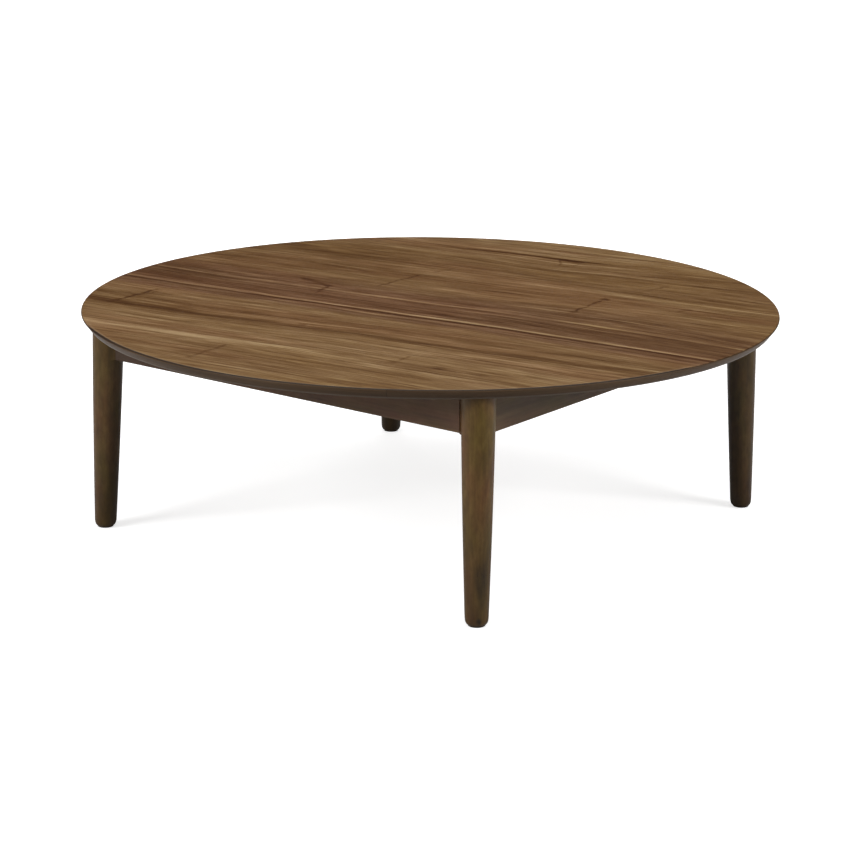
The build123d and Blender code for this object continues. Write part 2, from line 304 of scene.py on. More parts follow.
# Streaks that fade along the fibres: (height, half width, tone, start, full, full to, end), in mm
STREAKS = [
    (-387, 15, 0.36, -900, -700, 40, 210),
    (-384, 12, -0.22, 150, 260, 900, 1000),
    (-242, 24, -0.40, -560, -430, -240, 20),
    (-258, 11, -0.16, -160, 0, 360, 620),
    (-208, 10, -0.18, -900, -700, -240, -40),
    (-436, 10, 0.18, 120, 260, 900, 1000),
    (-88, 7, 0.34, -240, -60, 900, 1000),
    (-6, 5, -0.24, -900, -700, 900, 1000),
    (-98, 6, -0.34, -900, -700, 900, 1000),
    (2, 6, 0.24, -220, -20, 900, 1000),
    (130, 70, -0.10, -900, -700, -330, -160),
    (206, 9, 0.20, -220, -130, -30, 40),
    (221, 10, 0.22, -20, 60, 200, 330),
    (229, 8, 0.24, 150, 230, 900, 1000),
    (260, 60, -0.16, -900, -700, -300, -120),
    (420, 10, -0.60, -360, -140, -20, 120),
    (418, 9, 0.22, 120, 220, 900, 1000),
    (393, 8, 0.20, -190, -120, -20, 60),
    (12, 120, -0.14, -900, -700, -480, -330),
    (210, 60, -0.10, -900, -700, -360, -180),
]
# Splits and pith flecks across the grain: (x, y, x, y, half width, depth), in mm
CRACKS = [
    (198, 202, 210, 95, 2.2, 0.46),
    (-145, 160, -147, 50, 2.2, 0.36),
    (-205, 0, -190, -58, 2.6, 0.34),
    (-280, 15, -205, 0, 5.0, 0.24),
    (-405, -200, -400, -312, 2.8, 0.46),
    (-392, -205, -396, -250, 1.8, 0.30),
    (-40, 424, -12, 380, 2.0, 0.30),
    (6, 424, 14, 385, 1.6, 0.20),
    (197, -345, 190, -300, 2.4, 0.22),
    (222, 346, 217, 300, 2.6, 0.22),
    (343, 224, 338, 200, 2.6, 0.22),
    (-380, 350, -388, 250, 3.0, 0.14),
    (-132, 240, -140, 190, 2.6, 0.22),
    (-62, -410, -52, -510, 3.0, 0.22),
]
# Knots and dark flecks: (x, y, half length, half width, depth), in mm
KNOTS = [
    (-17, 420, 30, 11, 0.60),
    (198, 202, 10, 9, 0.50),
    (210, 95, 7, 7, 0.62),
    (-207, -3, 8, 8, 0.50),
    (195, -342, 13, 9, 0.50),
    (265, -330, 20, 10, 0.30),
    (340, -326, 26, 9, 0.26),
    (223, 345, 9, 7, 0.30),
    (343, 222, 10, 8, 0.34),
    (-62, -245, 10, 8, 0.22),
]
# The curves cover this length in metres, and hold values from 0 to 1 only. So the heights of the fibres
# are squeezed towards the middle of that span.
TABLE_SPAN = 1.2
SQUEEZE = 0.8
SQUEEZE_START = 0.1

# How far the fibres wander from their lines, in metres
FIBRE_WANDER = 0.010
# Gain and base of the tone before the figure comes over it
TONE_GAIN = 0.8
TONE_BASE = 0.1
# Figure of the wood at five sizes, all of it long along the fibres:
# (scale along, scale across, shift, detail, roughness, weight)
FIGURE = {
    "broad": (1.6, 26.0, 3.1, 3.0, 0.55, 0.24),
    "middle": (3.0, 110.0, 9.7, 4.0, 0.6, 0.44),
    "short": (13.0, 190.0, 4.4, 3.0, 0.6, 0.92),
    "patch": (22.0, 46.0, 2.9, 2.0, 0.5, 0.18),
    "fine": (7.0, 300.0, 1.3, 4.0, 0.65, 1.36),
}
VENEER_PORES_FROM = 0.60
VENEER_PORE_DEPTH = 0.20
# How far the outline of a split or knot is ragged, and where a split fades in and out at its ends, in metres
RAGGED = 0.018
SPLIT_FADE_BEYOND = 0.008
SPLIT_FADE_WITHIN = 0.006
# A knot starts and is fully dark at these shares of its half sizes
KNOT_EDGE = 1.25
KNOT_HEART = 0.1
# Colour of each tone, from 0 to 255
WALNUT_COLOURS = [
    (0.0, (66, 35, 7)),
    (0.28, (97, 67, 34)),
    (0.5, (118, 88, 54)),
    (0.72, (139, 110, 74)),
    (1.0, (169, 143, 105)),
]
# The leaf in the middle fades in and out between these heights, in metres
MIDDLE_LEAF_IN = (-0.150, -0.135)
MIDDLE_LEAF_OUT = (0.020, 0.110)
# Tints that multiply the colour of the veneer
COOLER = (0.92, 0.89, 1.10, 1.0)
YELLOWER = (1.0, 0.985, 0.90, 1.0)
RUDDIER = (1.01, 0.95, 0.96, 1.0)
# On the side that faces this way, a painted shade darkens the rounding of the edge as a dark band, with
# a painted highlight as a pale line inside it. Both set in between two shares of the radius on that side.
# The other sizes are insets from the rim, in metres: elsewhere the painted shade ends KEPT_OUT outside it,
# and here RISE further in.
PAINTED_SHADE_SIDE = (0.407, -0.947)
PAINTED_SHADE_SHARES = (0.48, 0.66)
PAINTED_SHADE_RISE = 0.0050
PAINTED_SHADE_KEPT_OUT = 0.0010
PAINTED_SHADE_SOFTNESS = (-0.0004, 0.0006)
PAINTED_SHADE_COLOUR = (57, 45, 37)
PAINTED_HIGHLIGHT_INSETS = (0.0075, 0.0050)
PAINTED_HIGHLIGHT_STRENGTH = 0.35
PAINTED_HIGHLIGHT_COLOUR = (166, 140, 112)


def unit(millimetres):
    """A place on the table as a share of the span that the curves cover."""
    return millimetres / 1000 / TABLE_SPAN + 0.5


def fibre_height(g, x, y):
    """For each place on the top, the height in the middle of the table of the fibre that passes it."""
    share_x = g.math("MULTIPLY_ADD", x, 1 / TABLE_SPAN, 0.5)
    share_y = g.math("MULTIPLY_ADD", y, 1 / TABLE_SPAN, 0.5)
    squeezed_y = g.math("MULTIPLY_ADD", share_y, SQUEEZE, SQUEEZE_START)
    lines = []
    for _, line in FIBRES:
        lines.append(g.curve(share_x, [(unit(px), unit(py) * SQUEEZE + SQUEEZE_START) for px, py in line]))
    total = FIBRES[0][0] / 1000
    for low, high, below, above in zip(FIBRES, FIBRES[1:], lines, lines[1:]):
        rise = (high[0] - low[0]) / 1000
        total = g.add(total, g.span(squeezed_y, below, above, 0.0, rise))
    return total


def veneer_tone(g, x, height):
    """The tone of the wood across the fibres, with the streaks that fade along them."""
    share = g.math("MULTIPLY_ADD", height, 1 / TABLE_SPAN, 0.5)
    tone = g.curve(share, [(unit(h), t) for h, t in TONES])
    for centre, half, strength, start, full, full_to, end in STREAKS:
        away = g.math("ABSOLUTE", g.add(height, -centre / 1000))
        profile = g.span(away, half / 1000, 0.0, 0.0, strength, smooth=True)
        window = g.span(x, start / 1000, full / 1000, smooth=True)
        window = g.times(window, g.span(x, full_to / 1000, end / 1000, 1.0, 0.0, smooth=True))
        tone = g.math("MULTIPLY_ADD", profile, window, tone)
    return g.math("MULTIPLY_ADD", tone, TONE_GAIN, TONE_BASE)


def veneer_flaws(g, x, y, z):
    """How dark the splits and knots are, with a ragged outline and a broken colour."""
    ragged = g.noise(g.stretched(x, y, z, (45.0, 45.0, 1.0)), detail=4.0, roughness=0.65)
    rag_x = g.add(x, g.math("MULTIPLY_ADD", ragged, RAGGED, -RAGGED / 2))
    broken = g.noise(g.stretched(x, y, z, (30.0, 90.0, 1.0), (7.0, 0.0, 0.0)), detail=3.0)
    dark = 0.0
    for x0, y0, x1, y1, half, depth in CRACKS:
        length = math.hypot(x1 - x0, y1 - y0) / 1000
        along = ((x1 - x0) / 1000 / length, (y1 - y0) / 1000 / length)
        off = g.join(g.add(rag_x, -x0 / 1000), g.add(y, -y0 / 1000), 0.0)
        run = g.vector_math("DOT_PRODUCT", off, (along[0], along[1], 0.0))
        side = g.math("ABSOLUTE", g.vector_math("DOT_PRODUCT", off, (-along[1], along[0], 0.0)))
        line = g.span(side, half * 2 / 1000, 0.0, 0.0, depth, smooth=True)
        line = g.times(line, g.span(run, -SPLIT_FADE_BEYOND, SPLIT_FADE_WITHIN, smooth=True))
        left = g.span(run, length - SPLIT_FADE_WITHIN, length + SPLIT_FADE_BEYOND, 1.0, 0.0, smooth=True)
        dark = g.math("MAXIMUM", dark, g.times(line, left))
    for x0, y0, half_length, half_width, depth in KNOTS:
        spot = g.spot(rag_x, y, x0, y0, half_length, half_width)
        dark = g.math("MAXIMUM", dark, g.span(spot, KNOT_EDGE, KNOT_HEART, 0.0, depth, smooth=True))
    return g.times(dark, g.span(broken, 0.36, 0.58, 0.35, 1.15))


def veneer_colour(g, tone, x, height, z):
    """The colour of a tone. The leaf in the middle is cooler, and the wood drifts between red and yellow."""
    colour = g.ramp(tone, [(share, linear(*colour)) for share, colour in WALNUT_COLOURS])
    fade_in = g.span(height, *MIDDLE_LEAF_IN, smooth=True)
    fade_out = g.span(height, *MIDDLE_LEAF_OUT, 1.0, 0.0, smooth=True)
    cool = g.times(g.times(fade_in, fade_out), g.span(tone, 0.55, 0.72, 0.9, 0.0))
    colour = g.mix(cool, colour, COOLER, "MULTIPLY")
    drift = g.noise(g.stretched(x, height, z, (2.2, 11.0, 1.0), (5.0, 2.0, 0.0)), detail=2.0)
    colour = g.mix(g.span(drift, 0.5, 0.66), colour, YELLOWER, "MULTIPLY")
    return g.mix(g.span(drift, 0.5, 0.36), colour, RUDDIER, "MULTIPLY")


def painted_edge_shade_and_highlight(g, colour, x, y):
    """The colour with a painted shade over the edge's rounding, and a painted highlight as a pale line
    inside it, on one side of the table.
    """
    place = g.join(x, y, 0.0)
    facing = (PAINTED_SHADE_SIDE[0] / TOP_RADIUS, PAINTED_SHADE_SIDE[1] / TOP_RADIUS, 0.0)
    on_painted_side = g.span(g.vector_math("DOT_PRODUCT", place, facing), *PAINTED_SHADE_SHARES, smooth=True)
    inset = g.math("SUBTRACT", TOP_RADIUS, g.vector_math("LENGTH", place))
    # The pale line inside the rim is a painted highlight.
    pale = g.times(g.span(inset, *PAINTED_HIGHLIGHT_INSETS, smooth=True), on_painted_side)
    colour = g.mix(g.times(pale, PAINTED_HIGHLIGHT_STRENGTH), colour, linear(*PAINTED_HIGHLIGHT_COLOUR))
    # The dark band over the rounding is a painted shade.
    shade_from = g.math("MULTIPLY_ADD", on_painted_side, PAINTED_SHADE_RISE, -PAINTED_SHADE_KEPT_OUT)
    shaded = g.span(g.math("SUBTRACT", shade_from, inset), *PAINTED_SHADE_SOFTNESS, smooth=True)
    return g.mix(shaded, colour, linear(*PAINTED_SHADE_COLOUR))


def walnut_veneer():
    g = Graph("walnut_veneer")
    x, y, z = g.split(g.place())
    wander = g.noise(g.stretched(x, y, z, (5.0, 14.0, 1.0)), detail=2.0)
    wavy_y = g.add(y, g.math("MULTIPLY_ADD", wander, FIBRE_WANDER, -FIBRE_WANDER / 2))
    height = fibre_height(g, x, wavy_y)
    tone = veneer_tone(g, x, height)
    figure = {}
    for name, (along, across, shift, detail, roughness, weight) in FIGURE.items():
        vector = g.stretched(x, height, z, (along, across, 1.0), (shift, 0.0, 0.0))
        figure[name] = g.noise(vector, detail=detail, roughness=roughness)
        tone = g.sway(tone, figure[name], weight)
    # Pores: short dark dashes along the fibres
    dashes = g.noise(g.stretched(x, height, z, (55.0, 1500.0, 1.0)), detail=2.0, roughness=0.6)
    pores = g.span(dashes, VENEER_PORES_FROM, PORES_FULL, smooth=True)
    tone = g.math("MULTIPLY_ADD", pores, -VENEER_PORE_DEPTH, tone)
    flaws = veneer_flaws(g, x, y, z)
    tone = g.math("SUBTRACT", tone, flaws, clamp=True)
    colour = painted_edge_shade_and_highlight(g, veneer_colour(g, tone, x, height, z), x, y)

    height_map = g.add(g.times(pores, -0.7), g.times(figure["fine"], 0.5))
    height_map = g.math("MULTIPLY_ADD", flaws, -1.2, height_map)
    rough = g.math("MULTIPLY_ADD", figure["middle"], 0.16, 0.40)
    rough = g.math("MULTIPLY_ADD", pores, 0.15, rough)
    return g.finish(colour, rough, g.bump(height_map, 0.00012, 0.7), Specular_IOR_Level=0.22, IOR=WOOD_IOR)


# ---------------------------------------------------------------- other woods

# Where the noise of the pores starts to darken the wood, and by how much it does in the end
PORES_FROM = 0.58
PORE_DEPTH = 0.12
# How far the grain bends, in metres
GRAIN_BEND = 0.016
# Tints that multiply the colour where the stain takes unevenly
GREENER = (0.92, 1.02, 0.78, 1.0)
REDDER = (1.0, 0.86, 0.92, 1.0)


def upright_place(g, turn, tilt):
    """The object's own place, turned and leaned to where an upright leg at angle 0 has it."""
    turned = g.node("ShaderNodeVectorRotate", rotation_type="AXIS_ANGLE")
    g.put(turned.inputs["Vector"], g.place())
    turned.inputs["Axis"].default_value = (0, 0, 1)
    turned.inputs["Angle"].default_value = -turn
    leaned = g.node("ShaderNodeVectorRotate", rotation_type="AXIS_ANGLE")
    g.put(leaned.inputs["Vector"], turned.outputs[0])
    leaned.inputs["Center"].default_value = (LEG_AXIS_RADIUS, 0, UNDERSIDE_Z)
    leaned.inputs["Axis"].default_value = (0, 1, 0)
    leaned.inputs["Angle"].default_value = tilt
    return leaned.outputs[0]


def plain_wood(name, colours, along, turn=0.0, tilt=0.0, streak=0.5, mottle=0.35, rough=0.45,
               specular=0.4, shift=0.0, waves=55.0, hue=0.7, speckle=0.0, outer_painted_light=0.0, end=None, spots=()):
    """Straight-grained wood in a dark, a mean and a light colour.

    along is the object axis of the grain, and turn and tilt lay it on a leg. streak, mottle, speckle and
    hue are strengths of the figure, waves is how close its streaks lie, and shift picks another part of it.
    the outer share is painted light that makes a leg's face away from the table paler and its inner face
    darker, end is (place, place, share) of a darker end, and spots are dark places on a leg: (height, offset
    to the side, half length, half width, depth) in mm.
    """
    g = Graph(name)
    x, y, z = g.split(upright_place(g, turn, tilt) if turn or tilt else g.place())
    u, v, w = {"X": (x, y, z), "Y": (y, x, z), "Z": (z, x, y)}[along]
    wander = g.noise(g.stretched(u, v, w, (3.0, 12.0, 12.0), (shift, 0.0, 0.0)), detail=2.0)
    v = g.add(v, g.math("MULTIPLY_ADD", wander, GRAIN_BEND, -GRAIN_BEND / 2))

    def figure(scale_along, scale_across, shifts, detail, roughness=0.5):
        vector = g.stretched(u, v, w, (scale_along, scale_across, scale_across), shifts)
        return g.noise(vector, detail=detail, roughness=roughness)

    broad = figure(2.5, waves, (shift, shift, 0.0), 3.0, 0.55)
    middle = figure(6.0, 260.0, (shift, 0.0, shift), 4.0, 0.6)
    pores = g.span(figure(60.0, 1500.0, (0.0, 0.0, 0.0), 2.0, 0.6), PORES_FROM, PORES_FULL, smooth=True)
    tone = g.sway(0.5, broad, streak * 2.0)
    tone = g.sway(tone, middle, streak * 0.9)
    tone = g.sway(tone, figure(9.0, 22.0, (0.0, shift, shift), 3.0), mottle * 2.0)
    if speckle:
        tone = g.sway(tone, figure(42.0, 120.0, (shift, 0.0, shift), 3.0, 0.6), speckle * 2.0)
    # Painted light: a leg's face away from the table is made paler, and its inner face darker.
    if outer_painted_light:
        tone = g.math("MULTIPLY_ADD", g.add(x, -LEG_AXIS_RADIUS), outer_painted_light / LEG_RADIUS, tone)
    for height, side, half_length, half_width, depth in spots:
        away = g.spot(z, y, height, side, half_length, half_width)
        tone = g.math("SUBTRACT", tone, g.span(away, 1.0, 0.2, 0.0, depth, smooth=True))
    tone = g.math("MULTIPLY_ADD", pores, -PORE_DEPTH, tone, clamp=True)
    colour = g.three_colours(tone, *colours)
    if end:
        darker = g.span(u, end[0], end[1], end[2], 1.0, smooth=True)
        colour = g.mix(1.0, colour, g.join(darker, darker, darker), "MULTIPLY")
    # The stain takes unevenly, greener here and redder there
    stain = figure(11.0, 34.0, (shift, shift, shift), 2.0)
    colour = g.mix(g.span(stain, 0.5, 0.66, 0.0, hue), colour, GREENER, "MULTIPLY")
    colour = g.mix(g.span(stain, 0.5, 0.34, 0.0, hue), colour, REDDER, "MULTIPLY")
    normal = g.bump(g.add(g.times(pores, -0.8), g.times(middle, 0.6)), 0.00014, 0.6)
    roughness = g.math("MULTIPLY_ADD", broad, 0.16, rough - 0.08)
    roughness = g.math("MULTIPLY_ADD", pores, 0.12, roughness)
    return g.finish(colour, roughness, normal, Specular_IOR_Level=specular, IOR=WOOD_IOR)


# The lipping is made of this many segments, and one joint lies this share of a segment before +X
EDGE_SEGMENTS = 8
EDGE_JOINT_BEFORE_X = 0.31
# Where a joint starts and is at its darkest, as a share of a segment from its middle, and how dark it is
JOINT_SHARES = (0.4988, 0.4996)
JOINT_DEPTH = 0.35
# How far the grain of one segment lies from that of the next
EDGE_GRAIN_JUMP = 7.3
EDGE_COLOURS = ((56, 41, 28), (92, 71, 50), (122, 97, 70))
# A painted sheen makes the lower arris paler from the first to the second height above the underside, in
# metres
PAINTED_SHEEN_HEIGHTS = (0.0036, 0.0012)
PAINTED_SHEEN_STRENGTH = 0.48
PAINTED_SHEEN_COLOUR = (142, 128, 114)
# A thin dark line comes in between these depths under the veneer, in metres
DARK_LINE_DEPTHS = (0.0010, 0.0002)
DARK_LINE_STRENGTH = 0.75
DARK_LINE_COLOUR = (30, 20, 14)


def edge_wood():
    """Stained lipping: the grain runs round the rim, and the segments meet in faint joints."""
    g = Graph("stained_edge")
    x, y, z = g.split(g.place())
    angle = g.math("ARCTAN2", y, x)
    run = g.times(angle, TOP_RADIUS)
    radius = g.vector_math("LENGTH", g.join(x, y, 0.0))
    segment = g.math("MULTIPLY_ADD", angle, EDGE_SEGMENTS / (2 * math.pi), EDGE_JOINT_BEFORE_X)
    shift = (g.times(g.math("FLOOR", segment), EDGE_GRAIN_JUMP), 0.0, 0.0)
    joint = g.span(g.math("ABSOLUTE", g.add(g.math("FRACT", segment), -0.5)), *JOINT_SHARES)
    broad = g.noise(g.stretched(run, radius, z, (3.0, 60.0, 90.0), shift), detail=3.0)
    middle = g.noise(g.stretched(run, radius, z, (8.0, 300.0, 420.0), shift), detail=4.0, roughness=0.6)
    dashes = g.noise(g.stretched(run, radius, z, (60.0, 900.0, 1500.0)), detail=2.0)
    pores = g.span(dashes, PORES_FROM, PORES_FULL, smooth=True)
    tone = g.sway(g.sway(0.5, broad, 0.9), middle, 0.5)
    tone = g.math("MULTIPLY_ADD", pores, -PORE_DEPTH, tone)
    tone = g.math("MULTIPLY_ADD", joint, -JOINT_DEPTH, tone, clamp=True)
    colour = g.three_colours(tone, *EDGE_COLOURS)
    # The pale band along the lower arris is a painted sheen.
    wear_and_sheen = g.span(z, *(UNDERSIDE_Z + height for height in PAINTED_SHEEN_HEIGHTS), smooth=True)
    colour = g.mix(g.times(wear_and_sheen, PAINTED_SHEEN_STRENGTH), colour, linear(*PAINTED_SHEEN_COLOUR))
    dark_line = g.span(z, *(VENEER_BOTTOM_Z - depth for depth in DARK_LINE_DEPTHS), smooth=True)
    colour = g.mix(g.times(dark_line, DARK_LINE_STRENGTH), colour, linear(*DARK_LINE_COLOUR))
    normal = g.bump(g.add(g.times(pores, -0.8), g.times(middle, 0.5)), 0.00012, 0.6)
    roughness = g.math("MULTIPLY_ADD", broad, 0.14, 0.36)
    return g.finish(colour, roughness, normal, Specular_IOR_Level=0.2, IOR=WOOD_IOR)


PLIES = 9
PLY_COLOURS = ((150, 112, 72), (196, 158, 112), (222, 190, 146))
PLY_JOINT_COLOUR = (96, 66, 42)


def plywood():
    g = Graph("core_plywood")
    x, y, z = g.split(g.place())
    plies_per_metre = PLIES / (VENEER_BOTTOM_Z - UNDERSIDE_Z)
    layer = g.math("MULTIPLY_ADD", z, plies_per_metre, -UNDERSIDE_Z * plies_per_metre)
    odd = g.math("PINGPONG", g.math("FLOOR", layer), 1.0)
    edge = g.span(g.math("ABSOLUTE", g.add(g.math("FRACT", layer), -0.5)), 0.44, 0.49)
    grain = g.noise(g.stretched(x, y, z, (6.0, 160.0, 900.0)), detail=4.0, roughness=0.6)
    colour = g.three_colours(g.add(g.times(odd, 0.3), g.times(grain, 0.7)), *PLY_COLOURS)
    colour = g.mix(g.times(edge, 0.6), colour, linear(*PLY_JOINT_COLOUR))
    return g.finish(colour, 0.7, g.bump(grain, 0.0001, 0.5), Specular_IOR_Level=0.25)


# ---------------------------------------------------------------- metal, rubber, nylon and felt


def powder_coat():
    g = Graph("bracket_steel")
    grain = g.grain(1600.0, 1600.0, 1600.0, detail=2.0)
    cloud = g.grain(60.0, 60.0, 60.0, detail=3.0)
    colour = g.mix(cloud, linear(28, 28, 29), linear(44, 43, 43))
    return g.finish(colour, g.math("MULTIPLY_ADD", cloud, 0.2, 0.42), g.bump(grain, 0.00008, 0.5))


def zinc():
    g = Graph("zinc_steel")
    brushed = g.grain(900.0, 900.0, 200.0, detail=3.0)
    cloud = g.grain(140.0, 140.0, 140.0, detail=3.0)
    colour = g.mix(cloud, linear(176, 172, 158), linear(206, 204, 198))
    rough = g.math("MULTIPLY_ADD", brushed, 0.2, 0.26)
    return g.finish(colour, rough, g.bump(brushed, 0.00004, 0.4), Metallic=1.0)


def rubber():
    g = Graph("bumper_rubber")
    grain = g.grain(900.0, 900.0, 900.0, detail=3.0)
    colour = g.mix(grain, linear(22, 22, 22), linear(40, 39, 38))
    rough = g.math("MULTIPLY_ADD", grain, 0.2, 0.62)
    return g.finish(colour, rough, g.bump(grain, 0.0001, 0.5), Specular_IOR_Level=0.3)


def nylon():
    g = Graph("washer_nylon")
    grain = g.grain(500.0, 500.0, 500.0, detail=3.0)
    colour = g.mix(grain, linear(212, 208, 196), linear(228, 226, 218))
    rough = g.math("MULTIPLY_ADD", grain, 0.15, 0.38)
    return g.finish(colour, rough, g.bump(grain, 0.00004, 0.4), Subsurface_Weight=0.15)


def felt():
    g = Graph("pad_felt")
    fibres = g.grain(700.0, 700.0, 1800.0, detail=5.0, roughness=0.7, distortion=1.2)
    colour = g.mix(fibres, linear(44, 34, 26), linear(86, 70, 56))
    return g.finish(colour, 0.95, g.bump(fibres, 0.0004, 0.8), Specular_IOR_Level=0.1, Sheen_Weight=0.4)


# ---------------------------------------------------------------- meshes

# Angles between faces, in degrees, above which an edge stays sharp
SHARP_RIM = 50.0
SHARP_LEG = 35.0
SHARP_SCREW = 30.0


def add_piece(name, vertices, faces, material, body, sharp):
    mesh = bpy.data.meshes.new(name)
    mesh.from_pydata(vertices, [], faces)
    mesh.validate()
    return place_piece(mesh, material, body, sharp)


def place_piece(mesh, material, body, sharp):
    mesh.shade_smooth()
    mesh.set_sharp_from_angle(angle=math.radians(sharp))
    mesh.materials.append(material)
    piece = bpy.data.objects.new(mesh.name, mesh)
    bpy.context.scene.collection.objects.link(piece)
    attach(piece, body)
    return piece


def circle(radius, z, count):
    """Points of a circle about Z, or the one point that a radius of 0 leaves."""
    if radius == 0:
        return [(0.0, 0.0, z)]
    angles = [2 * math.pi * step / count for step in range(count)]
    return [(radius * math.cos(angle), radius * math.sin(angle), z) for angle in angles]


def lathe(profile, count):
    """Vertices and faces of a closed profile of (radius, z) points turned about Z."""
    vertices, faces, rings = [], [], []
    for radius, z in profile:
        points = circle(radius, z, count)
        rings.append(range(len(vertices), len(vertices) + len(points)))
        vertices += points
    pairs = list(zip(rings, rings[1:]))
    if len(rings[0]) > 1 and len(rings[-1]) > 1:
        pairs.append((rings[-1], rings[0]))
    for low, high in pairs:
        for step in range(count):
            after = (step + 1) % count
            if len(low) == 1:
                faces.append((low[0], high[step], high[after]))
            elif len(high) == 1:
                faces.append((low[step], high[0], low[after]))
            else:
                faces.append((low[step], high[step], high[after], low[after]))
    return vertices, faces


def rounded(corner, before, after, radius, steps):
    """Points of an arc that eases the corner between two neighbours of a profile."""
    corner, before, after = Vector(corner), Vector(before), Vector(after)
    to_before = (before - corner).normalized()
    to_after = (after - corner).normalized()
    half = to_before.angle(to_after) / 2
    cut = radius / math.tan(half)
    centre = corner + (to_before + to_after).normalized() * radius / math.sin(half)
    start = corner + to_before * cut - centre
    end = corner + to_after * cut - centre
    points = []
    for step in range(steps + 1):
        swung = start.slerp(end, step / steps)
        points.append(tuple(centre + swung.normalized() * radius))
    return points


def arc(radius, z, size, start, end, steps):
    """Points of an arc about (radius, z), from start to end in degrees."""
    points = []
    for step in range(steps + 1):
        angle = math.radians(start + (end - start) * step / steps)
        points.append((radius + size * math.cos(angle), z + size * math.sin(angle)))
    return points


# Facets round the rim, and along the curves of its profile
RIM_COUNT = 720
UPPER_STEPS = 5
LOWER_STEPS = 8
# A ring of vertices at this share of the radius keeps the rounding out of the shading of the flat face
FLAT_SHARE = 0.99


def make_top():
    """The face veneer and the lipping, with the upper arris rounded through both of them."""
    centre_radius = TOP_RADIUS - UPPER_ROUND
    centre_z = TOP_Z - UPPER_ROUND
    seam = math.degrees(math.asin((VENEER_BOTTOM_Z - centre_z) / UPPER_ROUND))
    profile = [(0.0, VENEER_BOTTOM_Z), (centre_radius * FLAT_SHARE, VENEER_BOTTOM_Z)]
    profile += arc(centre_radius, centre_z, UPPER_ROUND, seam, 90.0, UPPER_STEPS)
    profile += [(centre_radius * FLAT_SHARE, TOP_Z), (0.0, TOP_Z)]
    piece = add_piece("veneered_face", *lathe(profile, RIM_COUNT), walnut_veneer(), "table_top", SHARP_RIM)
    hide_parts("top_veneer")

    low = (TOP_RADIUS - EDGE_UNDERCUT, UNDERSIDE_Z)
    widest = (TOP_RADIUS, centre_z - EDGE_FLAT)
    profile = [(CORE_RADIUS, UNDERSIDE_Z)]
    profile += rounded(low, (CORE_RADIUS, UNDERSIDE_Z), widest, LOWER_ROUND, LOWER_STEPS)
    profile += [widest]
    profile += arc(centre_radius, centre_z, UPPER_ROUND, 0.0, seam, UPPER_STEPS)
    profile += [(CORE_RADIUS, VENEER_BOTTOM_Z)]
    piece = add_piece("bevelled_lipping", *lathe(profile, RIM_COUNT), edge_wood(), "table_top", SHARP_RIM)
    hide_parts("edge_lipping")


# The foot of a leg: where its axis meets the floor, the height of the foot's bottom, its radius there
# before it is eased, and how much the radius grows for each metre above
FOOT_AXIS_RADIUS = 0.52074
FOOT_RADIUS = 0.01706
FOOT_WIDENING = 0.029
FOOT_BOTTOM_Z = 0.002
# The quarter ellipse that eases the foot
FOOT_EASE_HEIGHT = 0.010
FOOT_EASE_INSET = 0.004
FOOT_STEPS = 10
# Vertices this close to the bottom lie on it, and this close to the outline belong to it
BOTTOM_BAND = 0.00001
OUTLINE_BAND = 0.0005


def make_leg(corner, degrees, material):
    """The leg of the CAD model, with its foot eased on a longer and finer curve."""
    bm = bmesh.new()
    bm.from_mesh(nodes[f"{corner}_leg"].data)
    turn = Matrix.Rotation(math.radians(degrees), 4, "Z")
    bm.transform(turn.inverted())
    for step in range(1, FOOT_STEPS + 1):
        rise = FOOT_EASE_HEIGHT * (1 - math.cos(math.pi / 2 * step / FOOT_STEPS))
        geometry = bm.verts[:] + bm.edges[:] + bm.faces[:]
        bmesh.ops.bisect_plane(bm, geom=geometry, plane_co=(0, 0, FOOT_BOTTOM_Z + rise), plane_no=(0, 0, 1))
    for vertex in bm.verts:
        rise = vertex.co.z - FOOT_BOTTOM_Z
        if rise > FOOT_EASE_HEIGHT:
            continue
        centre = Vector((FOOT_AXIS_RADIUS - math.tan(LEG_SPLAY) * vertex.co.z, 0, vertex.co.z))
        outward = vertex.co - centre
        share = 1 - rise / FOOT_EASE_HEIGHT
        inset = FOOT_EASE_INSET * (1 - math.sqrt(max(0.0, 1 - share * share)))
        radius = FOOT_RADIUS + FOOT_WIDENING * rise - inset
        if rise > BOTTOM_BAND or outward.length > radius - OUTLINE_BAND:
            vertex.co = centre + outward.normalized() * radius
    bm.transform(turn)
    mesh = bpy.data.meshes.new(f"{corner}_turned_leg")
    bm.to_mesh(mesh)
    bm.free()
    piece = place_piece(mesh, material, f"{corner}_leg", SHARP_LEG)
    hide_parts(f"{corner}_leg")


# A countersunk screw with a cross recess, in metres
SCREW_TOP_Z = 0.349
SCREW_HEAD_RADIUS = 0.004
SCREW_HEAD_HEIGHT = 0.002
SCREW_RADIUS = 0.002
SCREW_POINT_LENGTH = 0.003
SCREW_POINT_RADIUS = 0.0004
SCREW_COUNT = 24
RECESS_DEPTH = 0.0014
RECESS_ARM = 0.0021
RECESS_HALF_WIDTH = 0.0005
RECESS_INNER_CORNER = 0.0007
# Screws never stop at the same angle: the first one's, and the turn from each to the next, in radians
FIRST_SCREW_TURN = 0.5
NEXT_SCREW_TURN = 1.1


